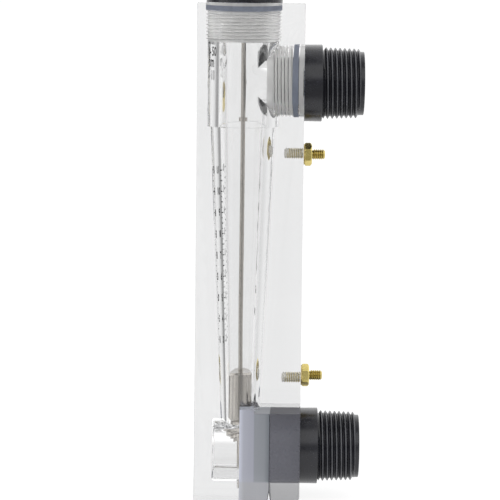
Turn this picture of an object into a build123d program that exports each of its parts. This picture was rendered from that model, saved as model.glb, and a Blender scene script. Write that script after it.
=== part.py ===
from build123d import *
import math
import os

# Panel rotameter: a clear block with a tapered bore, a float on a guide rod and two rear ports.
# Millimetres. +Z is up, -X is the scale face, +X is the port face, Y is the width.
# The origin is on the bore axis, at the underside of the body.

# Body block
body_depth = 50.0
body_width = 44.0
body_height = 235.0
front_wall = 21.7  # bore axis to the scale face
edge_break = 0.5
edge_trim = 0.4  # small breaks on turned edges
overshoot = 1.0  # how far a cut runs past the face that it starts from
rear_face = body_depth - front_wall

# Ports
inlet_height = 24.0
outlet_drop = 37.0  # top of the body down to the outlet's axis
waterway_r = 12.5
outlet_height = body_height - outlet_drop

# Tapered bore and the chamber over it
taper_bottom_r = 8.9
taper_top_r = 14.7
chamber_r = 16.1
seat_height = 37.7  # where the float rests
taper_top_drop = 21.3  # outlet's axis down to the top of the taper
chamber_step_height = 0.6  # the step from the taper out to the chamber

# Fine threads that hold the plug and the outlet nipple in the body
fine_thread_r = 16.5
fine_thread_pitch = 1.6
fine_thread_depth = 0.9
fine_thread_clearance = 0.25
fine_thread_land = 0.2  # plain length at each end
fine_thread_length = 8.8
plug_thread_length = 13.5

# Seals: a round ring in a neck beside each flange
seal_section_r = 1.4
seal_neck_length = 3.5
plug_neck_length = 4.8
seal_clearance = 0.06
seal_recess_r = 16.95

# Grey inlet block, bonded into the body's lower rear corner in two slabs
block_front_x = -0.3
block_seam_x = 13.9
block_step_x = 6.5
block_wall_over_barrel = 0.68
block_step_rise = 1.9  # the front slab's top over the rear slab's
block_corner_r = 3.5
seam_groove_height = 6.0
seam_groove_width = 1.1
inlet_chamber_r = 15.0
inlet_chamber_depth = 12.9  # bore axis to the chamber's blind end
inlet_chamber_corner_r = 1.2

# Nipples, with a taper pipe thread of 11.5 turns an inch
flange_r = 18.1
flange_draft = 0.12
flange_length = 8.7
pipe_thread_length = 19.75
pipe_thread_pitch = 25.4 / 11.5
pipe_thread_r = 16.95  # over the crests, at the flange
pipe_thread_depth = 1.35
pipe_thread_taper = 1.0 / 32.0
pipe_thread_flat = 0.35
pipe_nose_length = 2.0  # least plain length at the free end
nipple_pilot_length = 2.9
nipple_pilot_r = 16.8
nipple_end_chamfer = 0.8
barrel_chamfer = 0.3
barrel_clearance = 0.12
barrel_end_gap = 0.15
face_seal_section_r = 1.45
face_seal_squash = 0.1
face_seal_land = 0.7  # chamber wall to the middle of the ring

# Top plug
plug_flange_r = 18.0
plug_flange_height = 4.5
plug_flange_chamfer = 0.6
plug_hex_flats = 27.0
plug_hex_height = 8.0
plug_hex_chamfer = 1.2
plug_thread_gap = 0.5  # under the plug, where the threaded bore ends
plug_wall = 5.0
plug_boss_r = 4.5
plug_hole_depth = 9.0
plug_nut_recess = 3.2  # boss set back from the plug's end, with the nut on it
plug_nut_recess_clearance = 0.1

# Guide rod, float and stops
rod_r = 1.5
rod_foot_depth = 3.2  # how far the rod's foot goes into the floor of the inlet chamber
rod_fit = 0.03
rod_end_gap = 0.2
rod_end_chamfer = 0.3
float_r = 8.05
float_length = 22.7
float_rod_clearance = 0.08
float_top_chamfer = 0.9
float_foot_chamfer = 1.6
float_hole_chamfer = 0.5
stop_collar_r = 2.85
stop_collar_height = 1.7
stop_collar_rise = 1.8  # over the top of the taper
seat_collar_r = 6.6
seat_collar_height = 5.6
seat_collar_hub_r = 4.6
seat_collar_rim = 3.6
lock_nut_flats = 5.5
lock_nut_height = 2.4
lock_nut_chamfer = 0.5
hexagon_face_inset = 0.1  # the turned face's edge, inside the flats

# Brass mounting studs on the port face
stud_r = 2.5
stud_lower_rise = 34.2  # over the inlet's axis
stud_upper_drop = 33.8  # under the outlet's axis
stud_embedded = 9.0
stud_reach = 10.6  # past the port face
stud_hole_clearance = 0.05
stud_hole_extra = 0.6
stud_hole_point = 0.5  # the drill point's depth over its radius
stud_end_chamfer = 0.5
stud_relief_r = 2.05  # thread relief beside the nut
stud_relief_length = 0.6
stud_nut_flats = 9.5
stud_nut_height = 3.7
stud_nut_chamfer = 0.7
stud_washer_r = 4.9
stud_washer_thickness = 0.7

# What the rest follows from
plug_thread_top = body_height - plug_neck_length
plug_thread_bottom = plug_thread_top - plug_thread_length
plug_seal_height = plug_thread_top + seal_section_r + seal_clearance
chamber_top_height = plug_thread_bottom - plug_thread_gap
thread_bore_r = fine_thread_r + fine_thread_clearance
fine_root_r = fine_thread_r - fine_thread_depth
taper_top_height = outlet_height - taper_top_drop
stop_collar_level = taper_top_height + stop_collar_rise
block_rear_height = inlet_height + flange_r + barrel_clearance + block_wall_over_barrel
block_front_height = block_rear_height + block_step_rise
outlet_seal_x = rear_face - nipple_pilot_length - seal_neck_length
spigot_end_x = outlet_seal_x - fine_thread_length
seal_neck_r = seal_recess_r - 2 * seal_section_r - 3 * seal_clearance
seal_ring_r = seal_neck_r + seal_section_r + seal_clearance
flange_end_x = rear_face + flange_length
nipple_end_x = flange_end_x + pipe_thread_length
barrel_start_x = block_seam_x + barrel_end_gap
face_seal_ring_r = inlet_chamber_r + face_seal_land
stud_lower_height = inlet_height + stud_lower_rise
stud_upper_height = outlet_height - stud_upper_drop
stud_relief_start = stud_embedded + stud_washer_thickness + stud_nut_height
chamber_floor = inlet_height - inlet_chamber_r
rod_foot = chamber_floor - rod_foot_depth
rod_top = plug_thread_bottom + plug_hole_depth
boss_end = plug_thread_bottom + plug_nut_recess


def at_x(solid, x, height):
    """Turns a solid built along +Z so that it runs along +X from x at the given height."""
    return Pos(x, 0, height) * Rot(0, 90, 0) * solid


def turned(outline):
    """A solid turned about Z from (radius, height) points."""
    points = [(radius, 0, height) for radius, height in outline]
    return revolve(make_face(Polyline(*points, close=True)), Axis.Z)


def tube_span(inner_r, outer_r, start, end):
    """A plain ring about Z between two heights."""
    return turned([(inner_r, start), (outer_r, start), (outer_r, end), (inner_r, end)])


def rod_span(radius, start, end):
    """A plain cylinder about Z between two heights."""
    return turned([(0, start), (radius, start), (radius, end), (0, end)])


def hexagon(flats, height, corner_chamfer):
    """A hexagonal head or nut about Z, with its corners turned off at the top."""
    corner_r = flats / math.sqrt(3)
    prism = extrude(RegularPolygon(corner_r, 6), height)
    turning = turned(
        [
            (0, 0),
            (corner_r + overshoot, 0),
            (corner_r + overshoot, height - corner_chamfer),
            (flats / 2 - hexagon_face_inset, height),
            (0, height),
        ]
    )
    return prism & turning


def seal_ring(ring_r, section_r):
    """A round-section sealing ring about Z, centred on the origin."""
    return Torus(ring_r, section_r)


def pipe_thread_outline(start):
    """(radius, height) points of the taper thread's ridges, from its flange end."""
    points = []
    turns = int((pipe_thread_length - pipe_nose_length) / pipe_thread_pitch)
    for turn in range(turns):
        root = start + turn * pipe_thread_pitch
        crest = root + pipe_thread_pitch / 2
        crest_r = pipe_thread_r - (crest - start) * pipe_thread_taper
        root_r = pipe_thread_r - (root - start) * pipe_thread_taper - pipe_thread_depth
        points.append((root_r, root))
        points.append((crest_r, crest - pipe_thread_flat / 2))
        points.append((crest_r, crest + pipe_thread_flat / 2))
    nose_start = start + turns * pipe_thread_pitch
    nose_r = pipe_thread_r - (nose_start - start) * pipe_thread_taper - pipe_thread_depth
    points.append((nose_r, nose_start))
    points.append((nose_r, start + pipe_thread_length - nipple_end_chamfer))
    points.append((nose_r - nipple_end_chamfer, start + pipe_thread_length))
    return points


def fine_thread_outline(start, end):
    """(radius, height) points of the fine thread's ridges between two heights."""
    turns = int((end - start) / fine_thread_pitch)
    first_root = (start + end - turns * fine_thread_pitch) / 2
    points = []
    for turn in range(turns):
        root = first_root + turn * fine_thread_pitch
        points.append((fine_root_r, root))
        points.append((fine_thread_r, root + fine_thread_pitch / 2))
    points.append((fine_root_r, first_root + turns * fine_thread_pitch))
    return points


def flange_and_thread(start):
    """Outline of the drafted flange and the pipe thread, on from the port face."""
    flange_end = start + flange_length
    return [
        (flange_r, start),
        (flange_r + flange_draft, flange_end - edge_trim),
        (flange_r + flange_draft - edge_trim, flange_end),
        *pipe_thread_outline(flange_end),
    ]


def bore_tool():
    """The bores from the top: tapered bore, chamber, thread and the plug's seal recess."""
    return turned(
        [
            (0, inlet_height),
            (taper_bottom_r, inlet_height),
            (taper_bottom_r, seat_height),
            (taper_top_r, taper_top_height),
            (chamber_r, taper_top_height + chamber_step_height),
            (chamber_r, chamber_top_height),
            (thread_bore_r, chamber_top_height),
            (thread_bore_r, plug_thread_top),
            (seal_recess_r, plug_thread_top + edge_trim),
            (seal_recess_r, body_height + overshoot),
            (0, body_height + overshoot),
        ]
    )


def outlet_port_tool():
    """The outlet port: a threaded hole that breaks into the chamber, and the seal recess."""
    port = turned(
        [
            (0, 0),
            (thread_bore_r, 0),
            (thread_bore_r, outlet_seal_x),
            (seal_recess_r, outlet_seal_x + edge_trim),
            (seal_recess_r, rear_face + overshoot),
            (0, rear_face + overshoot),
        ]
    )
    return at_x(port, 0, outlet_height)


def inlet_chamber_tool():
    """The inlet chamber: a flat-bottomed hole from the port side, with a rounded blind end."""
    length = inlet_chamber_depth + block_seam_x + overshoot
    hole = rod_span(inlet_chamber_r, 0, length)
    hole = fillet(hole.edges().sort_by(Axis.Z)[0], inlet_chamber_corner_r)
    return at_x(hole, -inlet_chamber_depth, inlet_height)


def rod_foot_tool():
    """The blind hole in the chamber floor that locates the rod's foot."""
    return rod_span(rod_r + rod_fit, rod_foot - rod_end_gap, inlet_height)


def stud_hole_tool(height):
    """A blind hole for a stud, with the drill's point at its end."""
    hole_r = stud_r + stud_hole_clearance
    depth = stud_embedded + stud_hole_extra
    end = depth + overshoot
    hole = turned([(0, -hole_r * stud_hole_point), (hole_r, 0), (hole_r, end), (0, end)])
    return at_x(hole, rear_face - depth, height)


def block_outline(x_from, x_to, steps):
    """A slab of the inlet block, extruded across the width from its side profile."""
    points = [(x, 0, z) for x, z in [(x_from, 0), (x_to, 0), *steps]]
    profile = make_face(Polyline(*points, close=True))
    return Pos(0, body_width / 2, 0) * extrude(profile, body_width, dir=(0, -1, 0))


def front_slab_blank():
    return block_outline(
        block_front_x,
        block_seam_x,
        [
            (block_seam_x, block_rear_height),
            (block_step_x, block_rear_height),
            (block_step_x, block_front_height),
            (block_front_x, block_front_height),
        ],
    )


def rear_slab_blank():
    return block_outline(
        block_seam_x,
        rear_face,
        [(rear_face, block_rear_height), (block_seam_x, block_rear_height)],
    )


def seam_groove_tool():
    """The narrow V under the seam between the two slabs."""
    points = [
        (block_seam_x - seam_groove_width, 0, 0),
        (block_seam_x + seam_groove_width, 0, 0),
        (block_seam_x, 0, seam_groove_height),
    ]
    profile = make_face(Polyline(*points, close=True))
    return Pos(0, body_width / 2, 0) * extrude(profile, body_width, dir=(0, -1, 0))


def meter_body():
    block = Pos(rear_face - body_depth / 2, 0, body_height / 2) * Box(
        body_depth, body_width, body_height
    )
    block = chamfer(block.edges(), edge_break)
    block -= front_slab_blank() + rear_slab_blank()
    block -= bore_tool() + outlet_port_tool() + inlet_chamber_tool() + rod_foot_tool()
    for height in (stud_lower_height, stud_upper_height):
        block -= stud_hole_tool(height)
    return block


def inlet_block_front():
    slab = front_slab_blank() - seam_groove_tool()
    return slab - bore_tool() - inlet_chamber_tool() - rod_foot_tool()


def inlet_block_rear():
    slab = rear_slab_blank() - seam_groove_tool()
    corner = slab.edges().filter_by(Axis.Y).group_by(Axis.Z)[0].sort_by(Axis.X)[-1]
    slab = fillet(corner, block_corner_r)
    slab_depth = rear_face - block_seam_x
    counterbore = rod_span(flange_r + barrel_clearance, -overshoot, slab_depth + overshoot)
    return slab - at_x(counterbore, block_seam_x, inlet_height)


def top_plug():
    """Moulded cup with a boss for the rod, a seal neck, a flange and a hexagonal head."""
    cup_r = fine_thread_r - plug_wall
    flange_top = body_height + plug_flange_height
    cup = turned(
        [
            (0, plug_thread_bottom),
            (fine_root_r, plug_thread_bottom),
            (fine_thread_r, plug_thread_bottom + fine_thread_depth),
            (fine_thread_r, plug_thread_top),
            (seal_neck_r, plug_thread_top),
            (seal_neck_r, body_height),
            (plug_flange_r, body_height),
            (plug_flange_r, flange_top - plug_flange_chamfer),
            (plug_flange_r - plug_flange_chamfer, flange_top),
            (0, flange_top),
        ]
    )
    cup += Pos(0, 0, flange_top) * hexagon(plug_hex_flats, plug_hex_height, plug_hex_chamfer)
    below = plug_thread_bottom - overshoot
    cup -= tube_span(plug_boss_r, cup_r, below, flange_top - plug_wall)
    cup -= rod_span(plug_boss_r + plug_nut_recess_clearance, below, boss_end)
    return cup - rod_span(rod_r + rod_fit, below, rod_top + rod_end_gap)


def top_plug_seal():
    return Pos(0, 0, plug_seal_height) * seal_ring(seal_ring_r, seal_section_r)


def outlet_nipple():
    """Nipple screwed into the body: fine thread, seal neck, pilot, flange, pipe thread."""
    outline = [
        (waterway_r, spigot_end_x),
        (fine_root_r, spigot_end_x),
        *fine_thread_outline(
            spigot_end_x + fine_thread_land, outlet_seal_x - fine_thread_land
        ),
        (seal_neck_r, outlet_seal_x),
        (seal_neck_r, outlet_seal_x + seal_neck_length),
        (nipple_pilot_r, outlet_seal_x + seal_neck_length),
        (nipple_pilot_r, rear_face),
        *flange_and_thread(rear_face),
        (waterway_r, nipple_end_x),
    ]
    return at_x(turned(outline), 0, outlet_height)


def outlet_seal():
    ring_x = outlet_seal_x + seal_neck_length / 2
    return at_x(seal_ring(seal_ring_r, seal_section_r), ring_x, outlet_height)


def inlet_nipple():
    """Nipple with a long barrel sunk in the inlet block, sealed on its end face."""
    outline = [
        (waterway_r, barrel_start_x),
        (flange_r - barrel_chamfer, barrel_start_x),
        (flange_r, barrel_start_x + barrel_chamfer),
        *flange_and_thread(rear_face),
        (waterway_r, nipple_end_x),
    ]
    groove_end = block_seam_x + 2 * face_seal_section_r - face_seal_squash + seal_clearance
    groove = tube_span(
        face_seal_ring_r - face_seal_section_r - seal_clearance,
        face_seal_ring_r + face_seal_section_r + seal_clearance,
        barrel_start_x - overshoot,
        groove_end,
    )
    return at_x(turned(outline) - groove, 0, inlet_height)


def inlet_seal():
    """Face seal in the barrel's end, pressed flat where it meets the front slab."""
    ring = seal_ring(face_seal_ring_r, face_seal_section_r)
    contact = face_seal_squash - face_seal_section_r
    squashed = rod_span(2 * face_seal_ring_r, contact - overshoot, contact)
    ring_x = block_seam_x + face_seal_section_r - face_seal_squash
    return at_x(ring - squashed, ring_x, inlet_height)


def guide_rod():
    rod = rod_span(rod_r, rod_foot, rod_top)
    return chamfer(rod.edges().filter_by(GeomType.CIRCLE), rod_end_chamfer)


def metering_float():
    """Turned stainless float, pierced for the rod."""
    top = seat_height + float_length
    hole_r = rod_r + float_rod_clearance
    return turned(
        [
            (hole_r, seat_height),
            (float_r - float_foot_chamfer, seat_height),
            (float_r, seat_height + float_foot_chamfer),
            (float_r, top - float_top_chamfer),
            (float_r - float_top_chamfer, top),
            (hole_r + float_hole_chamfer, top),
            (hole_r, top - float_hole_chamfer),
        ]
    )


def upper_stop_collar():
    return tube_span(
        rod_r + rod_fit, stop_collar_r, stop_collar_level, stop_collar_level + stop_collar_height
    )


def float_seat_collar():
    """Stepped stainless collar on the rod, where the float rests at no flow."""
    top = seat_height
    bottom = top - seat_collar_height
    return turned(
        [
            (rod_r + rod_fit, bottom),
            (seat_collar_hub_r, bottom),
            (seat_collar_hub_r, top - seat_collar_rim),
            (seat_collar_r - edge_trim, top - seat_collar_rim),
            (seat_collar_r, top - seat_collar_rim + edge_trim),
            (seat_collar_r, top - edge_trim),
            (seat_collar_r - edge_trim, top),
            (rod_r + rod_fit, top),
        ]
    )


def rod_nut(top):
    """Small hexagonal nut on the rod, under the given level."""
    nut = hexagon(lock_nut_flats, lock_nut_height, lock_nut_chamfer)
    nut -= rod_span(rod_r + rod_fit, -overshoot, lock_nut_height + overshoot)
    return Pos(0, 0, top - lock_nut_height) * nut


def stud(height):
    """Brass stud: screwed into the block, with a free threaded end for the panel."""
    length = stud_embedded + stud_reach
    end_r = stud_r - stud_end_chamfer
    relief_end = stud_relief_start + stud_relief_length
    outline = [
        (0, 0),
        (end_r, 0),
        (stud_r, stud_end_chamfer),
        (stud_r, stud_relief_start),
        (stud_relief_r, stud_relief_start),
        (stud_relief_r, relief_end),
        (stud_r, relief_end),
        (stud_r, length - stud_end_chamfer),
        (end_r, length),
        (0, length),
    ]
    return at_x(turned(outline), rear_face - stud_embedded, height)


def stud_washer(height):
    washer = tube_span(stud_r + stud_hole_clearance, stud_washer_r, 0, stud_washer_thickness)
    return at_x(washer, rear_face, height)


def stud_nut(height):
    nut = hexagon(stud_nut_flats, stud_nut_height, stud_nut_chamfer)
    nut -= rod_span(stud_r + stud_hole_clearance, -overshoot, stud_nut_height + overshoot)
    return at_x(nut, rear_face + stud_washer_thickness, height)


nodes = {
    "meter_body": meter_body(),
    "inlet_block_front": inlet_block_front(),
    "inlet_block_rear": inlet_block_rear(),
    "top_plug": top_plug(),
    "top_plug_seal": top_plug_seal(),
    "outlet_nipple": outlet_nipple(),
    "outlet_seal": outlet_seal(),
    "inlet_nipple": inlet_nipple(),
    "inlet_seal": inlet_seal(),
    "guide_rod": guide_rod(),
    "float": metering_float(),
    "upper_stop_collar": upper_stop_collar(),
    "float_seat_collar": float_seat_collar(),
    "seat_lock_nut": rod_nut(seat_height - seat_collar_height),
    "plug_rod_nut": rod_nut(boss_end),
    "upper_stud": stud(stud_upper_height),
    "upper_stud_washer": stud_washer(stud_upper_height),
    "upper_stud_nut": stud_nut(stud_upper_height),
    "lower_stud": stud(stud_lower_height),
    "lower_stud_washer": stud_washer(stud_lower_height),
    "lower_stud_nut": stud_nut(stud_lower_height),
}

os.makedirs("parts", exist_ok=True)
for name, solid in nodes.items():
    export_step(solid, f"parts/{name}.step")
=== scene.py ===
import math

import bmesh
import bpy
from mathutils import Matrix, Vector


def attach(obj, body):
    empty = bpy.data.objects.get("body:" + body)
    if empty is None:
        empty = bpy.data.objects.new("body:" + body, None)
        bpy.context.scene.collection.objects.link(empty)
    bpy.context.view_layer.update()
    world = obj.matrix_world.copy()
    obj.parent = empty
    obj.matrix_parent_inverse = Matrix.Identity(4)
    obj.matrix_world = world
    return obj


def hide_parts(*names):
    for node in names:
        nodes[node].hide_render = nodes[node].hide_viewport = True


# Rotameter: a clear block with a tapered bore, a float on a guide rod and two rear ports.
# Millimetres until a mesh is made. The scale face looks to -X and the ports to +X.
MM = 0.001
BODY = "meter"

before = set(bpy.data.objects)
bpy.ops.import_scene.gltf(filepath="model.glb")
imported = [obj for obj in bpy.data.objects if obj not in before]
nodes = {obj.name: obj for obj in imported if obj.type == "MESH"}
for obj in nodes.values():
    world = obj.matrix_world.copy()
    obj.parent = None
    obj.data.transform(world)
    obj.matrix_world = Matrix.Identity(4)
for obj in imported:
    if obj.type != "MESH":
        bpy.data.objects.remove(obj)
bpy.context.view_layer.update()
scene = bpy.context.scene

# The clear block
BODY_FRONT, BODY_REAR, BODY_HALF_WIDTH, BODY_TOP = -21.7, 28.3, 22.0, 235.0
EDGE_BREAK = 0.5
OUT = 1.5  # how far a cut runs out past a face of the block
CONTACT = 0.03  # how far a bonded or pressed piece reaches into the clear body's mesh

# Its taper between two chambers, and the ports off them
INLET_HEIGHT, OUTLET_HEIGHT = 24.0, 198.0
TAPER_FOOT, TAPER_FOOT_R = 37.7, 8.9
TAPER_TOP, TAPER_TOP_R = 176.7, 14.7
CHAMBER_TOP, CHAMBER_R = 217.0, 16.1  # the radius is also the outlet port's and its threads'
RECESS_R = 16.95  # where the sealing rings lie
INLET_CHAMBER_R, INLET_CHAMBER_END, INLET_CHAMBER_CORNER = 15.0, -12.9, 1.2
ROD_HOLE_R, ROD_HOLE_FOOT = 1.53, 5.6

# The grey inlet block in the body's lower rear corner, whose front slab has a raised crown
BLOCK_FRONT, CROWN_REAR = -0.3, 6.5
BLOCK_TOP, CROWN_TOP = 42.9, 44.8

# Black pieces
PLUG_FLANGE_R, NIPPLE_FLANGE_R = 18.0, 18.1
NIPPLE_BORE_R = 12.5
NECK_R, CUP_R = 13.97, 15.4  # the neck that carries a ring, and the foot of the thread before it

# Brass studs, screwed into the rear face
STUD_HEIGHTS = (58.2, 164.2)
STUD_R, STUD_HOLE_R, STUD_RELIEF_R = 2.0, 2.1, 2.55
STUD_HOLE_DEPTH = 9.6
WASHER_R, WASHER_THICKNESS = 4.9, 0.7

# Thread shapes: steps of (share of a turn, share of the depth)
FINE_SHAPE = ((0.0, 0.0), (0.12, 0.0), (0.45, 1.0), (0.67, 1.0))
PLUG_SHAPE = ((0.0, 0.0), (0.12, 0.0), (0.5, 1.0), (0.6, 1.0))
PIPE_SHAPE = (
    (0.0, 0.0),
    (0.08, 0.0),
    (0.38, 0.8),
    (0.44, 0.95),
    (0.5, 1.0),
    (0.58, 1.0),
    (0.64, 0.95),
    (0.7, 0.8),
)
STUD_SHAPE = ((0.0, 0.0), (0.15, 0.0), (0.4, 0.8), (0.5, 1.0), (0.6, 1.0), (0.7, 0.8))

# Threads: (pitch, depth, shape, share of a turn that it is shifted by)
FINE_PITCH, STUD_PITCH, PIPE_PITCH = 1.6, 1.0, 25.4 / 11.5
PLUG_HOLE_THREAD = (FINE_PITCH, 0.7, PLUG_SHAPE, 0.3)
PORT_HOLE_THREAD = (FINE_PITCH, 0.7, FINE_SHAPE, 0.6)
STUD_HOLE_THREAD = (STUD_PITCH, 0.45, FINE_SHAPE, 0.2)
CUP_THREAD = (FINE_PITCH, 0.6, FINE_SHAPE, 0.1)
PIPE_THREAD = (PIPE_PITCH, 1.35, PIPE_SHAPE, 0.235)
STUD_THREAD = (STUD_PITCH, 0.5, STUD_SHAPE, 0.1)
FADE = 0.4  # share of a pitch over which a thread runs in and out
CREST = 0.75  # share of the depth over which a face belongs to the crest
END_GAP = 0.001  # a thread has no points nearer to its ends than this


def shade(mesh, sharp_degrees=30.0):
    """Smooth faces, with sharp edges where they meet at more than the angle given."""
    mesh.polygons.foreach_set("use_smooth", [True] * len(mesh.polygons))
    mesh.set_sharp_from_angle(angle=math.radians(sharp_degrees))


def mesh_object(name, verts, faces, sharp_degrees=30.0):
    """A new object from points in millimetres, with its normals outward and its edges set."""
    mesh = bpy.data.meshes.new(name)
    mesh.from_pydata([Vector(v) * MM for v in verts], [], faces)
    form = bmesh.new()
    form.from_mesh(mesh)
    bmesh.ops.recalc_face_normals(form, faces=form.faces)
    form.to_mesh(mesh)
    form.free()
    shade(mesh, sharp_degrees)
    piece = bpy.data.objects.new(name, mesh)
    scene.collection.objects.link(piece)
    return piece


def lay_along_x(piece, at):
    """Turns a piece made about Z so that it runs along +X, from a place given as (x, height)."""
    x, height = at
    turn = Matrix.Rotation(math.pi / 2, 4, "Y")
    piece.data.transform(Matrix.Translation((x * MM, 0, height * MM)) @ turn)


def circle(radius, height, segments):
    """The points of a level circle about Z."""
    turns = [2 * math.pi * column / segments for column in range(segments)]
    return [(radius * math.cos(turn), radius * math.sin(turn), height) for turn in turns]


def add_face(faces, corners):
    """Adds a face without repeated corners, and drops it where fewer than three are left."""
    face = [c for i, c in enumerate(corners) if c != corners[i - 1]]
    if len(set(face)) == len(face) and len(face) > 2:
        faces.append(face)


def thread_band(verts, faces, crests, low, high, start, end, thread):
    """A helical thread between two rings, as one grid whose rows follow the helix.

    The faces along its crest are noted in crests.
    """
    pitch, depth, shape, phase = thread
    segments = len(start)
    steps = len(shape)
    length = high[1] - low[1]
    rows = (math.ceil(length / pitch) + 2) * steps + 1
    grid = {}

    def corner(row, column):
        if column == segments:
            row, column = row + steps, 0
        if (row, column) in grid:
            return grid[row, column]
        turn, step = divmod(row, steps)
        share, rise = shape[step]
        along = pitch * (turn + share - 1 - phase + column / segments)
        if along <= END_GAP or along >= length - END_GAP:
            grid[row, column] = start[column] if along <= END_GAP else end[column]
            return grid[row, column]
        fade = min(1.0, along / (FADE * pitch), (length - along) / (FADE * pitch))
        radius = low[0] + (high[0] - low[0]) * along / length + depth * rise * fade
        angle = 2 * math.pi * column / segments
        grid[row, column] = len(verts)
        verts.append((radius * math.cos(angle), radius * math.sin(angle), low[1] + along))
        return grid[row, column]

    for row in range(rows - 1):
        on_crest = min(shape[row % steps][1], shape[(row + 1) % steps][1]) > CREST
        for column in range(segments):
            before = len(faces)
            add_face(
                faces,
                [
                    corner(row, column),
                    corner(row, column + 1),
                    corner(row + 1, column + 1),
                    corner(row + 1, column),
                ],
            )
            if on_crest:
                crests.extend(range(before, len(faces)))


def lathe(name, outline, threads=None, segments=96, at=None, slot=0, slots=None):
    """A piece turned from (radius, height) points about Z, or along X from at.

    threads gives a thread to the stretch after a point, and slots its material slot. The slot
    of the threads' crests is given as "crests".
    """
    threads = threads or {}
    slots = slots or {}
    verts, faces, rings, crests, face_slots = [], [], [], [], []
    for radius, height in outline:
        if radius == 0:
            rings.append([len(verts)] * segments)
            verts.append((0.0, 0.0, height))
        else:
            rings.append(list(range(len(verts), len(verts) + segments)))
            verts.extend(circle(radius, height, segments))
    pierced = outline[0][0] > 0
    for index in range(len(outline) if pierced else len(outline) - 1):
        after = (index + 1) % len(outline)
        start, end = rings[index], rings[after]
        if index in threads:
            low, high = outline[index], outline[after]
            thread_band(verts, faces, crests, low, high, start, end, threads[index])
        else:
            for column in range(segments):
                near = (column + 1) % segments
                add_face(faces, [start[column], start[near], end[near], end[column]])
        face_slots += [slots.get(index, slot)] * (len(faces) - len(face_slots))
    for index in crests:
        face_slots[index] = slots.get("crests", face_slots[index])
    piece = mesh_object(name, verts, faces)
    piece.data.polygons.foreach_set("material_index", face_slots)
    if at is not None:
        lay_along_x(piece, at)
    return piece


def prism(name, outline, half_width):
    """A side profile of (x, height) points, extruded across the width."""
    count = len(outline)
    verts = [(x, -half_width, z) for x, z in outline] + [(x, half_width, z) for x, z in outline]
    faces = [list(range(count)), list(range(count, 2 * count))]
    for index in range(count):
        after = (index + 1) % count
        faces.append([index, after, after + count, index + count])
    return mesh_object(name, verts, faces)


TURNED_OFF = 0.15  # how far a nut's end face stays inside its flats


def hexagon_piece(name, flats, low, high, hole_r, chamfer, at=None, both=True):
    """A pierced hexagonal nut, with its corners turned off at its high end or at both."""
    segments = 72
    corner_r = flats / math.sqrt(3)
    heights = [low, low + chamfer / 2, low + chamfer, high - chamfer, high - chamfer / 2, high]
    shares = (0.0, 0.5, 1.0, 1.0, 0.5, 0.0) if both else (1.0, 1.0, 1.0, 1.0, 0.5, 0.0)
    verts, rings = [], []
    for height, share in zip(heights, shares):
        rings.append(len(verts))
        limit = flats / 2 - TURNED_OFF + (corner_r - flats / 2 + TURNED_OFF) * share
        for column in range(segments):
            angle = 2 * math.pi * column / segments
            turn = angle % (math.pi / 3) - math.pi / 6
            radius = min(flats / 2 / math.cos(turn), limit)
            verts.append((radius * math.cos(angle), radius * math.sin(angle), height))
    hole_low = len(verts)
    hole_high = hole_low + segments
    verts += circle(hole_r, low, segments) + circle(hole_r, high, segments)

    def band(lower, upper, column):
        near = (column + 1) % segments
        return [lower + column, lower + near, upper + near, upper + column]

    faces = []
    for lower, upper in zip(rings, rings[1:]):
        faces += [band(lower, upper, column) for column in range(segments)]
    for column in range(segments):
        faces.append(band(rings[0], hole_low, column))
        faces.append(band(rings[-1], hole_high, column))
        faces.append(band(hole_low, hole_high, column))
    piece = mesh_object(name, verts, faces, 25.0)
    if at is not None:
        lay_along_x(piece, at)
    return piece


def carve(piece, cutters):
    """Cuts each cutter out of the piece, with the cutter's material slots, and removes it."""
    for cutter in cutters:
        for material in piece.data.materials:
            cutter.data.materials.append(material)
        cut = piece.modifiers.new("cut", "BOOLEAN")
        cut.operation = "DIFFERENCE"
        cut.solver = "EXACT"
        cut.object = cutter
    depsgraph = bpy.context.evaluated_depsgraph_get()
    mesh = bpy.data.meshes.new_from_object(piece.evaluated_get(depsgraph))
    piece.modifiers.clear()
    piece.data = mesh
    for cutter in cutters:
        bpy.data.objects.remove(cutter)
    shade(mesh)


# Shader nodes


def grey(value):
    return (value, value, value, 1)


def feed(tree, value, socket):
    """Links a socket to another node's output, or sets it to a number or colour."""
    if isinstance(value, bpy.types.NodeSocket):
        tree.links.new(value, socket)
    else:
        socket.default_value = value


def new_material(name, **values):
    """A Principled material with constant values on its sockets."""
    material = bpy.data.materials.new(name)
    material.use_nodes = True
    shader = material.node_tree.nodes["Principled BSDF"]
    for socket, value in values.items():
        shader.inputs[socket.replace("_", " ")].default_value = value
    return material, material.node_tree, shader


def noise_texture(tree, scale, stretch=(1.0, 1.0, 1.0), detail=3.0):
    """Noise in the object's own metres, squeezed along its axes by stretch."""
    place = tree.nodes.new("ShaderNodeTexCoord")
    mapping = tree.nodes.new("ShaderNodeMapping")
    mapping.inputs["Scale"].default_value = stretch
    noise = tree.nodes.new("ShaderNodeTexNoise")
    noise.inputs["Scale"].default_value = scale
    noise.inputs["Detail"].default_value = detail
    tree.links.new(place.outputs["Object"], mapping.inputs["Vector"])
    tree.links.new(mapping.outputs["Vector"], noise.inputs["Vector"])
    return noise.outputs["Fac"]


def ramp(tree, factor, *stops):
    """A colour ramp of (position, colour or grey) stops."""
    node = tree.nodes.new("ShaderNodeValToRGB")
    elements = node.color_ramp.elements
    while len(elements) < len(stops):
        elements.new(0.5)
    for element, (position, colour) in zip(elements, stops):
        element.position = position
        element.color = grey(colour) if isinstance(colour, float) else (*colour, 1)
    tree.links.new(factor, node.inputs["Fac"])
    return node.outputs["Color"]


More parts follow.
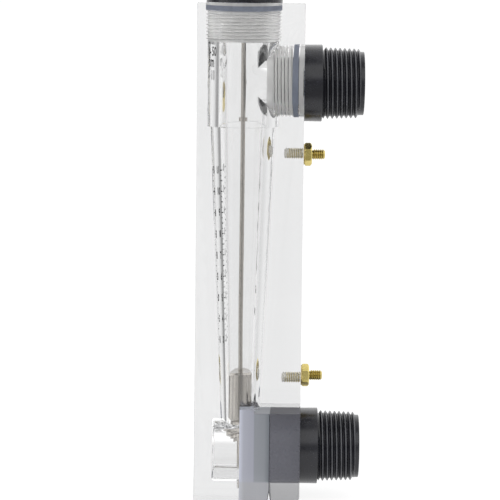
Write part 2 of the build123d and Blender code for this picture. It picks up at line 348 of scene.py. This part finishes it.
def position_ramp(tree, axis, low, high, *stops):
    """A ramp along one axis of the object, between two places in millimetres."""
    place = tree.nodes.new("ShaderNodeTexCoord")
    split = tree.nodes.new("ShaderNodeSeparateXYZ")
    span = tree.nodes.new("ShaderNodeMapRange")
    span.inputs["From Min"].default_value = low * MM
    span.inputs["From Max"].default_value = high * MM
    tree.links.new(place.outputs["Object"], split.inputs["Vector"])
    tree.links.new(split.outputs[axis], span.inputs["Value"])
    return ramp(tree, span.outputs["Result"], *stops)


def joined(tree, first, second, share=None):
    """Two colours multiplied, or blended by a share of the second."""
    mix = tree.nodes.new("ShaderNodeMix")
    mix.data_type = "RGBA"
    mix.blend_type = "MULTIPLY" if share is None else "MIX"
    feed(tree, 1.0 if share is None else share, mix.inputs["Factor"])
    feed(tree, first, mix.inputs["A"])
    feed(tree, second, mix.inputs["B"])
    return mix.outputs["Result"]


def calculated(tree, operation, *values):
    """The result of a Math node, from numbers and other nodes' outputs."""
    node = tree.nodes.new("ShaderNodeMath")
    node.operation = operation
    for value, socket in zip(values, node.inputs):
        feed(tree, value, socket)
    return node.outputs[0]


def bump(tree, shader, height, strength, distance):
    """Fine relief on a shader, up to a distance in metres."""
    node = tree.nodes.new("ShaderNodeBump")
    node.inputs["Strength"].default_value = strength
    node.inputs["Distance"].default_value = distance
    tree.links.new(height, node.inputs["Height"])
    tree.links.new(node.outputs["Normal"], shader.inputs["Normal"])


# Materials


def clear_material(name, tint_low, tint_high, roughness, passing=1.0):
    """Clear acrylic with a faint cloudiness in its tint, frosted where less light passes."""
    material, tree, shader = new_material(
        name, Transmission_Weight=passing, IOR=1.49, Roughness=roughness
    )
    cloud = noise_texture(tree, scale=35.0, detail=2.0)
    tint = ramp(tree, cloud, (0.3, tint_low), (0.7, tint_high))
    tree.links.new(tint, shader.inputs["Base Color"])
    return material


def plastic_material(name, dark, light, rough_low, rough_high, specular=0.5):
    """Moulded plastic: uneven colour and sheen, and a fine grain."""
    material, tree, shader = new_material(name, IOR=1.5, Specular_IOR_Level=specular)
    patches = noise_texture(tree, scale=140.0, detail=4.0)
    tree.links.new(ramp(tree, patches, (0.3, dark), (0.7, light)), shader.inputs["Base Color"])
    sheen = noise_texture(tree, scale=420.0, detail=3.0)
    rough = ramp(tree, sheen, (0.3, rough_low), (0.7, rough_high))
    tree.links.new(rough, shader.inputs["Roughness"])
    grain = noise_texture(tree, scale=2600.0, detail=2.0)
    bump(tree, shader, grain, strength=0.07, distance=0.00004)
    return material


def metal_material(name, dark, light, rough_low, rough_high, stretch=(1.0, 1.0, 1.0)):
    """Machined metal: faint patches in colour and sheen, drawn out along a stretched axis."""
    material, tree, shader = new_material(name, Metallic=1.0)
    patches = noise_texture(tree, scale=120.0, stretch=stretch, detail=3.0)
    tree.links.new(ramp(tree, patches, (0.3, dark), (0.7, light)), shader.inputs["Base Color"])
    rough = ramp(tree, patches, (0.35, rough_low), (0.65, rough_high))
    tree.links.new(rough, shader.inputs["Roughness"])
    grain = noise_texture(tree, scale=900.0, detail=2.0)
    bump(tree, shader, grain, strength=0.05, distance=0.00002)
    return material


BLOCK_SPAN = (-1.0, 29.0)  # where the grey block's ramps along X start and end
BARREL_FOOT = (9.8, 10.8)  # heights over which its colours under the barrel pass into those above


def veil_material(name, alpha, along, low_along):
    """Blue-grey plastic that lets light half through: a veil on each face of the block.

    low_along are its colours under the inlet's barrel, and along those above it; on the front,
    these darken towards the seam as painted shade of the dark barrel.
    """
    material, tree, shader = new_material(name, Roughness=0.42, IOR=1.45, Alpha=alpha)
    streaks = noise_texture(tree, scale=150.0, stretch=(1.0, 1.0, 0.06), detail=3.0)
    streak = ramp(tree, streaks, (0.3, 0.92), (0.7, 1.0))
    upper = position_ramp(tree, "X", *BLOCK_SPAN, *along)
    lower = position_ramp(tree, "X", *BLOCK_SPAN, *low_along)
    height = position_ramp(tree, "Z", *BARREL_FOOT, (0.0, 0.0), (1.0, 1.0))
    colour = joined(tree, joined(tree, lower, upper, height), streak)
    tree.links.new(colour, shader.inputs["Base Color"])
    grain = noise_texture(tree, scale=700.0, stretch=(1.0, 1.0, 0.1))
    bump(tree, shader, grain, strength=0.1, distance=0.00005)
    return material


def painted_lit_top_material(name, *along, edge=None):
    """The top of the grey block under the clear body, bonded all over or up to an edge in Y."""
    # Lighter than the veil under it: painted light from above
    material, tree, shader = new_material(name, Roughness=0.6, Specular_IOR_Level=0.0)
    patches = ramp(tree, noise_texture(tree, scale=160.0), (0.3, 0.93), (0.7, 1.0))
    colour = joined(tree, position_ramp(tree, "X", *BLOCK_SPAN, *along), patches)
    tree.links.new(colour, shader.inputs["Base Color"])
    if edge:
        cover = position_ramp(tree, "Y", *edge, (0.0, 1.0), (1.0, 0.1))
        tree.links.new(cover, shader.inputs["Alpha"])
    return material


clear = clear_material(
    "clear_acrylic", (0.76, 0.762, 0.765), (0.772, 0.773, 0.775), roughness=0.0
)
clear_bore = clear_material(
    "clear_acrylic_bore", (0.95, 0.95, 0.95), (0.965, 0.965, 0.965), roughness=0.03
)
clear_thread = clear_material(
    "clear_acrylic_thread", (0.965, 0.96, 0.95), (1.0, 0.995, 0.985), roughness=0.15, passing=0.2
)
clear_tapped = clear_material(
    "clear_acrylic_tapped", (1.0, 0.97, 0.88), (1.0, 0.98, 0.91), roughness=0.15, passing=0.0
)
black = plastic_material(
    "black_plastic", (0.006, 0.0062, 0.0095), (0.011, 0.0115, 0.017), 0.2, 0.3
)
# The threads' crests in a lighter black: a painted highlight along them
painted_crest_highlight = plastic_material(
    "black_plastic_crest_highlight",
    (0.035, 0.036, 0.042),
    (0.075, 0.076, 0.084),
    0.3,
    0.42,
    specular=0.6,
)
rubber = plastic_material("seal_rubber", (0.19, 0.22, 0.3), (0.25, 0.29, 0.39), 0.5, 0.65)
ink = plastic_material("scale_ink", (0.02, 0.02, 0.022), (0.035, 0.035, 0.038), 0.5, 0.6)
steel = metal_material(
    "stainless", (0.45, 0.425, 0.39), (0.51, 0.485, 0.45), 0.07, 0.11, stretch=(1.0, 1.0, 0.05)
)
brass = metal_material("brass", (0.56, 0.45, 0.13), (0.76, 0.63, 0.24), 0.18, 0.3)
brass_ring = metal_material("brass_ring", (0.7, 0.6, 0.34), (0.84, 0.75, 0.47), 0.5, 0.6)
# Darker copy of the brass for the outer thread's grooves: painted shade
brass_painted_groove_shade = metal_material("brass_painted_groove_shade", (0.34, 0.26, 0.07), (0.5, 0.4, 0.13), 0.25, 0.36)
# Front veil: above the barrel's foot it darkens towards the seam, painted shade of the dark
# barrel
block_front = veil_material(
    "grey_block_front",
    0.85,
    [
        (0.02, (0.6, 0.62, 0.72)),
        (0.09, (0.39, 0.4, 0.46)),
        (0.245, (0.36, 0.37, 0.43)),
        (0.26, (0.28, 0.295, 0.325)),
        (0.42, (0.25, 0.265, 0.29)),
        (0.49, (0.16, 0.175, 0.2)),
    ],
    [(0.02, (0.5, 0.51, 0.56)), (0.1, (0.38, 0.385, 0.41)), (0.5, (0.37, 0.375, 0.4))],
)
block_rear = veil_material(
    "grey_block_rear",
    0.43,
    [(0.5, (0.22, 0.222, 0.26)), (0.97, (0.16, 0.162, 0.19))],
    [(0.5, (0.17, 0.172, 0.19)), (0.97, (0.14, 0.142, 0.16))],
)
# Tops of the block: lighter copies of the veils' colours, painted light from above
crown = painted_lit_top_material("grey_block_crown_painted_lit", (0.0, (0.72, 0.75, 0.84)), (0.3, (0.64, 0.66, 0.74)))
bond = painted_lit_top_material(
    "grey_block_bond_painted_lit",
    (0.3, (0.7, 0.72, 0.77)),
    (0.49, (0.64, 0.66, 0.7)),
    (0.5, (0.3, 0.3, 0.325)),
    edge=(5.8, 7.4),
)


def dress(material, *names):
    """Puts a material on solids whose own shape is shown."""
    for name in names:
        mesh = nodes[name].data
        if not mesh.materials:
            mesh.materials.append(material)
        for slot in nodes[name].material_slots:
            slot.material = material


def stand_for(piece, body, slot, materials, *names):
    """A detailed piece takes the place of the named solids."""
    for material in materials:
        piece.data.materials.append(material)
    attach(piece, body)
    if names:
        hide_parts(*names)


dress(steel, "guide_rod", "float", "upper_stop_collar", "float_seat_collar")
dress(steel, "seat_lock_nut", "plug_rod_nut")
dress(rubber, "inlet_seal")

# Grey inlet block: a veil on its sides, and bonded tops in two levels, painted lit from above
VEIL_SLOT, BOND_SLOT, CROWN_SLOT = 0, 1, 2
BOND_ABOVE, CROWN_ABOVE = 42.5, 44.0  # just under the two tops

for name, veil in (("inlet_block_front", block_front), ("inlet_block_rear", block_rear)):
    mesh = nodes[name].data
    mesh.materials.clear()
    for material in (veil, bond, crown):
        mesh.materials.append(material)
    for polygon in mesh.polygons:
        height = polygon.center.z / MM
        upward = polygon.normal.z > 0.9
        polygon.material_index = VEIL_SLOT
        if upward and height > BOND_ABOVE:
            polygon.material_index = CROWN_SLOT if height > CROWN_ABOVE else BOND_SLOT

# Clear body: the block less its bores, ports, stud holes and the grey block's corner
BORE, FROSTED, TAPPED = 1, 2, 3  # slots of the surfaces in the bores, threads and stud holes
FINE_SEGMENTS = 144

body = prism(
    "clear_body",
    [(BODY_FRONT, 0), (BODY_REAR, 0), (BODY_REAR, BODY_TOP), (BODY_FRONT, BODY_TOP)],
    BODY_HALF_WIDTH,
)
form = bmesh.new()
form.from_mesh(body.data)
# Every edge is broken but the lower one on the far side
broken = [edge for edge in form.edges if any(v.co.z > 0 or v.co.y < 0 for v in edge.verts)]
bmesh.ops.bevel(
    form, geom=broken, offset=EDGE_BREAK * MM, segments=2, profile=0.5, affect="EDGES"
)
form.to_mesh(body.data)
form.free()
for material in (clear, clear_bore, clear_thread, clear_tapped):
    body.data.materials.append(material)

bore_cut = lathe(
    "bore_cut",
    [
        (0, INLET_HEIGHT),
        (TAPER_FOOT_R, INLET_HEIGHT),
        (TAPER_FOOT_R, TAPER_FOOT),
        (TAPER_TOP_R, TAPER_TOP),
        (TAPER_TOP_R, 178.0),
        (0, 178.0),
    ],
    segments=FINE_SEGMENTS,
    slot=BORE,
)
chamber_cut = lathe(
    "chamber_cut",
    [(0, TAPER_TOP), (CHAMBER_R, TAPER_TOP), (CHAMBER_R, CHAMBER_TOP), (0, CHAMBER_TOP)],
    segments=FINE_SEGMENTS,
    slot=BORE,
)
plug_cut = lathe(
    "plug_cut",
    [
        (0, 216.2),
        (CHAMBER_R, 216.2),
        (CHAMBER_R, 230.2),
        (RECESS_R, 230.6),
        (RECESS_R, 232.7),
        (RECESS_R, BODY_TOP - CONTACT),
        (PLUG_FLANGE_R, BODY_TOP - CONTACT),
        (PLUG_FLANGE_R, BODY_TOP + OUT),
        (0, BODY_TOP + OUT),
    ],
    {1: PLUG_HOLE_THREAD},
    segments=FINE_SEGMENTS,
    slot=FROSTED,
    slots={"crests": BORE, 3: BORE},
)
port_cut = lathe(
    "port_cut",
    [(0, 0), (CHAMBER_R, 0), (CHAMBER_R, 11.0), (0, 11.0)],
    segments=FINE_SEGMENTS,
    at=(0, OUTLET_HEIGHT),
    slot=BORE,
)
outlet_cut = lathe(
    "outlet_cut",
    [
        (0, 10.6),
        (CHAMBER_R, 10.6),
        (CHAMBER_R, 12.9),
        (CHAMBER_R, 21.9),
        (RECESS_R, 22.3),
        (RECESS_R, 25.4),
        (RECESS_R, 27.5),
        (RECESS_R, BODY_REAR - CONTACT),
        (NIPPLE_FLANGE_R, BODY_REAR - CONTACT),
        (NIPPLE_FLANGE_R, BODY_REAR + OUT),
        (0, BODY_REAR + OUT),
    ],
    {2: PORT_HOLE_THREAD},
    segments=FINE_SEGMENTS,
    at=(0, OUTLET_HEIGHT),
    slot=FROSTED,
    slots={"crests": BORE, 4: BORE, 6: BORE},
)
inlet_corner = [
    (
        INLET_CHAMBER_R - INLET_CHAMBER_CORNER + INLET_CHAMBER_CORNER * math.sin(turn),
        INLET_CHAMBER_END + INLET_CHAMBER_CORNER - INLET_CHAMBER_CORNER * math.cos(turn),
    )
    for turn in (math.pi * step / 8 for step in range(5))
]
inlet_cut = lathe(
    "inlet_cut",
    [
        (0, INLET_CHAMBER_END),
        *inlet_corner,
        (INLET_CHAMBER_R, BODY_REAR + OUT),
        (0, BODY_REAR + OUT),
    ],
    segments=FINE_SEGMENTS,
    at=(0, INLET_HEIGHT),
    slot=BORE,
)
foot_cut = lathe(
    "foot_cut",
    [
        (0, ROD_HOLE_FOOT),
        (ROD_HOLE_R, ROD_HOLE_FOOT),
        (ROD_HOLE_R, INLET_HEIGHT),
        (0, INLET_HEIGHT),
    ],
    segments=48,
    slot=BORE,
)
corner_cut = prism(
    "corner_cut",
    [
        (BLOCK_FRONT + CONTACT, -OUT),
        (BODY_REAR + OUT, -OUT),
        (BODY_REAR + OUT, BLOCK_TOP - CONTACT),
        (CROWN_REAR + CONTACT, BLOCK_TOP - CONTACT),
        (CROWN_REAR + CONTACT, CROWN_TOP - CONTACT),
        (BLOCK_FRONT + CONTACT, CROWN_TOP - CONTACT),
    ],
    BODY_HALF_WIDTH + OUT,
)
corner_cut.data.polygons.foreach_set("material_index", [BORE] * len(corner_cut.data.polygons))
stud_cuts = [
    lathe(
        "stud_cut",
        [
            (0, -0.3),
            (STUD_HOLE_R, 0),
            (STUD_HOLE_R, 9.3),
            (STUD_RELIEF_R, STUD_HOLE_DEPTH),
            (STUD_RELIEF_R, 11),
            (0, 11),
        ],
        {1: STUD_HOLE_THREAD},
        segments=48,
        at=(BODY_REAR - STUD_HOLE_DEPTH, level),
        slot=TAPPED,
    )
    for level in STUD_HEIGHTS
]
plain_cuts = [bore_cut, chamber_cut, port_cut, inlet_cut, foot_cut, corner_cut]
carve(body, plain_cuts + [plug_cut, outlet_cut, *stud_cuts])
stand_for(body, BODY, "clear_acrylic", [], "meter_body")

# Black nipples: a drafted flange with rounded edges and a right-hand taper thread
PIPE_START, PIPE_END, PIPE_TURNS = 8.7, 28.45, 8.15  # from the port face
TAPER_THREAD_AT = 4  # the point of flange_outline that the taper thread starts from
PAINTED_HIGHLIGHT = 1  # slot of the threads' crests, lighter as a painted highlight


def flange_outline(base):
    """The flange and the taper thread's ends, on from the port face."""
    return [
        (NIPPLE_FLANGE_R, base),
        (18.2, base + PIPE_START - 0.35),
        (18.15, base + PIPE_START - 0.12),
        (18.0, base + PIPE_START),
        (15.6, base + PIPE_START),
        (15.0, base + PIPE_START + PIPE_TURNS * PIPE_PITCH),
        (15.0, base + PIPE_END - 0.2),
        (14.8, base + PIPE_END),
        (13.2, base + PIPE_END),
        (NIPPLE_BORE_R, base + PIPE_END - 0.7),
    ]


upper_outline = [
    (NIPPLE_BORE_R, 13.4),
    (12.9, 13.1),
    (15.1, 13.1),
    (CUP_R, 13.4),
    (CUP_R, 21.7),
    (NECK_R, 21.9),
    (NECK_R, 25.4),
    (16.8, 25.4),
    (16.8, BODY_REAR),
]
upper_nipple = lathe(
    "upper_nipple",
    upper_outline + flange_outline(BODY_REAR),
    {3: CUP_THREAD, len(upper_outline) + TAPER_THREAD_AT: PIPE_THREAD},
    at=(0, OUTLET_HEIGHT),
    slots={"crests": PAINTED_HIGHLIGHT},
)
stand_for(upper_nipple, BODY, "black_plastic", [black, painted_crest_highlight], "outlet_nipple")

# The lower one ends in a plain barrel, with a groove for the face seal
lower_outline = [
    (NIPPLE_BORE_R, 14.05),
    (14.19, 14.05),
    (14.19, 16.76),
    (17.21, 16.76),
    (17.21, 14.05),
    (17.8, 14.05),
    (NIPPLE_FLANGE_R, 14.35),
]
lower_nipple = lathe(
    "lower_nipple",
    lower_outline + flange_outline(BODY_REAR),
    {len(lower_outline) + TAPER_THREAD_AT: PIPE_THREAD},
    at=(0, INLET_HEIGHT),
    slots={"crests": PAINTED_HIGHLIGHT},
)
stand_for(lower_nipple, BODY, "black_plastic", [black, painted_crest_highlight], "inlet_nipple")

# Top plug: cup with a boss for the rod, seal neck, flange and hexagonal head
BOSS_R, BOSS_FOOT, ROD_HOLE_END = 4.5, 219.9, 225.9
plug_outline = [
    (BOSS_R, BOSS_FOOT),
    (BOSS_R, 234.5),
    (11.5, 234.5),
    (11.5, 216.7),
    (15.1, 216.7),
    (CUP_R, 217.1),
    (CUP_R, 230.0),
    (NECK_R, 230.2),
    (NECK_R, BODY_TOP),
    (17.4, BODY_TOP),
    (PLUG_FLANGE_R, 235.4),
    (PLUG_FLANGE_R, 238.9),
    (17.4, 239.5),
    (13.6, 239.5),
    (13.3, 239.4),
    (0, 239.4),
    (0, ROD_HOLE_END),
    (ROD_HOLE_R, ROD_HOLE_END),
    (ROD_HOLE_R, BOSS_FOOT),
]
top_plug = lathe("top_plug_cap", plug_outline, {5: CUP_THREAD})
plug_head = hexagon_piece(
    "plug_head", flats=27.0, low=239.3, high=247.5, hole_r=6.0, chamfer=1.2, both=False
)
stand_for(top_plug, BODY, "black_plastic", [black], "top_plug")
stand_for(plug_head, BODY, "black_plastic", [black])

# Sealing rings, pressed flat against the recesses
RING_CORNER, RING_WIDTH = 0.4, 3.1
for name, base, at, node in (
    ("plug_ring", 230.35, None, "top_plug_seal"),
    ("outlet_ring", 22.25, (0, OUTLET_HEIGHT), "outlet_seal"),
):
    ring_r = RECESS_R + CONTACT
    ring = lathe(
        name,
        [
            (14.1, base + RING_CORNER),
            (14.5, base),
            (ring_r - RING_CORNER, base),
            (ring_r, base + RING_CORNER),
            (ring_r, base + 2.7),
            (ring_r - RING_CORNER, base + RING_WIDTH),
            (14.5, base + RING_WIDTH),
            (14.1, base + 2.7),
        ],
        segments=FINE_SEGMENTS,
        at=at,
    )
    stand_for(ring, BODY, "seal_rubber", [rubber], node)

# The bond between the two slabs of the inlet block, open to a V at the underside
SEAM_TOP, SEAM_FOOT = 42.7, 6.4
seam = prism(
    "block_seam",
    [
        (12.75, 0),
        (13.05, 0),
        (13.9, 5.4),
        (14.75, 0),
        (15.05, 0),
        (14.05, SEAM_FOOT),
        (14.05, SEAM_TOP),
        (13.8, SEAM_TOP),
        (13.8, SEAM_FOOT),
    ],
    BODY_HALF_WIDTH + CONTACT,
)
barrel_room = lathe(
    "barrel_room", [(0, 10), (18.22, 10), (18.22, 18), (0, 18)], at=(0, INLET_HEIGHT)
)
seam.data.materials.append(black)
carve(seam, [barrel_room])
stand_for(seam, BODY, "black_plastic", [])

# Brass studs, washers and nuts
PLAIN, SHADED_GROOVES = 0, 1  # slots of a stud; the outer thread's grooves are darker as painted shade

for place, level in zip(("lower", "upper"), STUD_HEIGHTS):
    stud = lathe(
        place + "_threaded_stud",
        [
            (0, 0),
            (1.7, 0),
            (STUD_R, 0.4),
            (STUD_R, 9.0),
            (STUD_R, 13.4),
            (STUD_R, 13.7),
            (STUD_R, 19.3),
            (1.7, 19.6),
            (0, 19.6),
        ],
        {2: STUD_THREAD, 5: STUD_THREAD},
        segments=48,
        at=(BODY_REAR - 9.0, level),
        slots={5: SHADED_GROOVES, "crests": PLAIN},
    )
    stand_for(stud, BODY, "brass", [brass, brass_painted_groove_shade], place + "_stud")
    washer = lathe(
        place + "_washer_ring",
        [
            (STUD_RELIEF_R, -CONTACT),
            (WASHER_R, -CONTACT),
            (WASHER_R, WASHER_THICKNESS),
            (STUD_RELIEF_R, WASHER_THICKNESS),
        ],
        at=(BODY_REAR, level),
    )
    stand_for(washer, BODY, "brass", [brass_ring], place + "_stud_washer")
    nut = hexagon_piece(
        place + "_hex_nut",
        flats=9.5,
        low=WASHER_THICKNESS,
        high=4.4,
        hole_r=STUD_RELIEF_R,
        chamfer=0.7,
        at=(BODY_REAR, level),
    )
    stand_for(nut, BODY, "brass", [brass], place + "_stud_nut")

# Printed scale on the front face: ticks on both sides of the reading zone, with plain numbers
PRINT_DEPTH = 0.04
FACE_TURN = Matrix(((0, 0, -1, 0), (-1, 0, 0, 0), (0, 1, 0, 0), (0, 0, 0, 1)))
FACE_PLACE = Matrix.Translation((BODY_FRONT * MM, 0, 0)) @ FACE_TURN


def print_on_face(name, verts, faces):
    """Flat marks given as (right, up) points in millimetres, seen from the front."""
    low = [(u, v, -CONTACT) for u, v in verts]
    high = [(u, v, PRINT_DEPTH) for u, v in verts]
    count = len(verts)
    solid = []
    for face in faces:
        solid.append(list(reversed(face)))
        solid.append([index + count for index in face])
        for index, corner in enumerate(face):
            after = face[(index + 1) % len(face)]
            solid.append([corner, after, after + count, corner + count])
    piece = mesh_object(name, low + high, solid)
    piece.data.transform(FACE_PLACE)
    stand_for(piece, BODY, "black_plastic", [ink])


def printed_words(name, words, bolder):
    """Printed numbers and units, each given as (text, right, up, size), filled in millimetres."""
    letters = bmesh.new()
    for text, right, up, size in words:
        curve = bpy.data.curves.new(name, "FONT")
        curve.body = text
        curve.size = size
        curve.align_x = "CENTER"
        curve.align_y = "CENTER"
        curve.extrude = (PRINT_DEPTH + CONTACT) / 2
        curve.offset = bolder
        curve.resolution_u = 3
        word = bpy.data.objects.new(name, curve)
        scene.collection.objects.link(word)
        bpy.context.view_layer.update()
        mesh = bpy.data.meshes.new_from_object(word)
        place = Matrix.Translation((right * MM, up * MM, (PRINT_DEPTH - CONTACT) * MM / 2))
        mesh.transform(FACE_PLACE @ place @ Matrix.Scale(MM, 4))
        letters.from_mesh(mesh)
        bpy.data.objects.remove(word)
        bpy.data.meshes.remove(mesh)
    mesh = bpy.data.meshes.new(name)
    letters.to_mesh(mesh)
    letters.free()
    piece = bpy.data.objects.new(name, mesh)
    scene.collection.objects.link(piece)
    stand_for(piece, BODY, "black_plastic", [ink])


SCALE_LOW, SCALE_HIGH = 75.0, 155.0
DIVISIONS, NUMBERED = 32, 8
LONG_TICK, SHORT_TICK = (12.5, 0.25), (10.5, 0.15)  # (outer end, half its thickness)
TICK_INNER = 8.6
NUMBERS_OUT, NUMBER_SIZE = 5.0, 4.6

tick_points, tick_faces = [], []


def add_bar(left, low, right, high):
    start = len(tick_points)
    tick_points.extend([(left, low), (right, low), (right, high), (left, high)])
    tick_faces.append([start, start + 1, start + 2, start + 3])


for division in range(DIVISIONS + 1):
    level = SCALE_LOW + (SCALE_HIGH - SCALE_LOW) * division / DIVISIONS
    outer, half = LONG_TICK if division % 2 == 0 else SHORT_TICK
    add_bar(-outer, level - half, -TICK_INNER, level + half)
    add_bar(TICK_INNER, level - half, outer, level + half)
print_on_face("scale_ticks", tick_points, tick_faces)

numbers = []
for step in range(NUMBERED + 1):
    level = SCALE_LOW + (SCALE_HIGH - SCALE_LOW) * step / NUMBERED
    numbers.append((str(10 + 5 * step), -NUMBERS_OUT, level, NUMBER_SIZE))
    numbers.append((str(3 + step), NUMBERS_OUT, level, NUMBER_SIZE))
printed_words("scale_numbers", numbers, bolder=0.2)
headings = [
    ("L/min", 0, 216.5, 6.4),
    ("10 - 50", 0, 211.0, 6.0),
    ("gpm", 0, 206.2, 7.0),
    ("3 - 11", 0, 200.0, 6.0),
]
printed_words("scale_units", headings, bolder=0.15)

# Floor, light and camera. The light is laid out by the turn from straight ahead of the object's
# seen side, in degrees towards the ports: white behind it, darker in front with brighter panels.
PANELS = (
    (-180, 1.0),
    (-140, 1.0),
    (-118, 0.85),
    (-109, 0.5),
    (-102, 0.2),
    (-93, 0.15),
    (-88, 0.6),
    (-83, 1.6),
    (-70, 1.6),
    (-58, 1.25),
    (-50, 1.1),
    (-44, 0.75),
    (-38, 0.8),
    (-32, 1.15),
    (-27, 0.75),
    (-21, 0.42),
    (-8, 0.3),
    (10, 0.25),
    (22, 0.3),
    (30, 0.6),
    (38, 0.8),
    (50, 0.82),
    (70, 0.78),
    (95, 0.82),
    (108, 0.92),
    (125, 1.0),
    (180, 1.0),
)
BRIGHTEST = 1.6
OVERHEAD = 1.45
SKY_STRENGTH = BRIGHTEST * 1.04
FLOOR_OWN, FLOOR_LIT = 0.86, 0.18
FLOOR_REACH, FLOOR_HEIGHT = 6000, -0.3
FLOOR_WHITE, FLOOR_SHADED = 0.17, 0.24  # metres from the axis that white ends and shades start


def panel_light(tree, split):
    """Brightness by the turn round Z, as a share of the brightest panel."""
    ahead = calculated(tree, "MULTIPLY", split.outputs["Y"], -1.0)
    turn = calculated(tree, "ARCTAN2", split.outputs["X"], ahead)
    share = calculated(tree, "MULTIPLY_ADD", turn, 0.5 / math.pi, 0.5)
    stops = [((angle + 180) / 360, value / BRIGHTEST) for angle, value in PANELS]
    return ramp(tree, share, *stops)


def add_floor():
    """A plain pale floor that is white round the object and takes the light's shades beyond."""
    near, far = -FLOOR_REACH, FLOOR_REACH
    corners = [(near, near), (far, near), (far, far), (near, far)]
    floor = mesh_object("floor", [(x, y, FLOOR_HEIGHT) for x, y in corners], [[0, 1, 2, 3]])
    material, tree, shader = new_material(
        "studio_floor",
        Base_Color=grey(FLOOR_LIT),
        Roughness=1.0,
        Specular_IOR_Level=0.0,
        Emission_Strength=FLOOR_OWN * BRIGHTEST,
    )
    place = tree.nodes.new("ShaderNodeTexCoord")
    split = tree.nodes.new("ShaderNodeSeparateXYZ")
    tree.links.new(place.outputs["Object"], split.inputs["Vector"])
    reach = tree.nodes.new("ShaderNodeVectorMath")
    reach.operation = "LENGTH"
    tree.links.new(place.outputs["Object"], reach.inputs[0])
    beyond = ramp(tree, reach.outputs["Value"], (FLOOR_WHITE, 0.0), (FLOOR_SHADED, 1.0))
    colour = joined(tree, grey(1 / BRIGHTEST), panel_light(tree, split), beyond)
    tree.links.new(colour, shader.inputs["Emission Color"])
    floor.data.materials.append(material)


def add_sky():
    """Soft light from all round, laid out by the panels, and even from high up."""
    world = bpy.data.worlds.new("studio")
    scene.world = world
    world.use_nodes = True
    sky = world.node_tree
    background = sky.nodes["Background"]
    direction = sky.nodes.new("ShaderNodeTexCoord")
    parts = sky.nodes.new("ShaderNodeSeparateXYZ")
    sky.links.new(direction.outputs["Generated"], parts.inputs["Vector"])
    above = ramp(sky, parts.outputs["Z"], (0.15, 0.0), (0.35, 1.0), (0.8, 1.0), (0.92, 0.0))
    light = joined(sky, panel_light(sky, parts), grey(OVERHEAD / BRIGHTEST), above)
    sky.links.new(light, background.inputs["Color"])
    background.inputs["Strength"].default_value = SKY_STRENGTH


CAMERA_PLACE = (0.00379, -0.9954, 0.21405)  # metres
CAMERA_PITCH, CAMERA_ROLL = 5.5, 0.62  # degrees
CAMERA_LENS, CAMERA_SENSOR = 150.8, 36.0


def add_camera():
    """A long lens a metre away from the object's side, looking slightly down on it."""
    camera_data = bpy.data.cameras.new("camera")
    camera_data.sensor_width = CAMERA_SENSOR
    camera_data.lens = CAMERA_LENS
    camera_data.clip_start = 0.01
    camera_data.clip_end = 50.0
    camera = bpy.data.objects.new("camera", camera_data)
    scene.collection.objects.link(camera)
    tilt = Matrix.Rotation(math.radians(90 - CAMERA_PITCH), 4, "X")
    roll = Matrix.Rotation(math.radians(CAMERA_ROLL), 4, "Z")
    camera.matrix_world = Matrix.Translation(CAMERA_PLACE) @ tilt @ roll
    scene.camera = camera


add_floor()
add_sky()
add_camera()

scene.view_settings.view_transform = "Standard"
scene.view_settings.look = "None"
scene.cycles.max_bounces = 32
scene.cycles.transmission_bounces = 28
scene.cycles.transparent_max_bounces = 24
scene.cycles.glossy_bounces = 12
scene.cycles.diffuse_bounces = 4
scene.cycles.sample_clamp_indirect = 8.0
scene.cycles.use_denoising = True
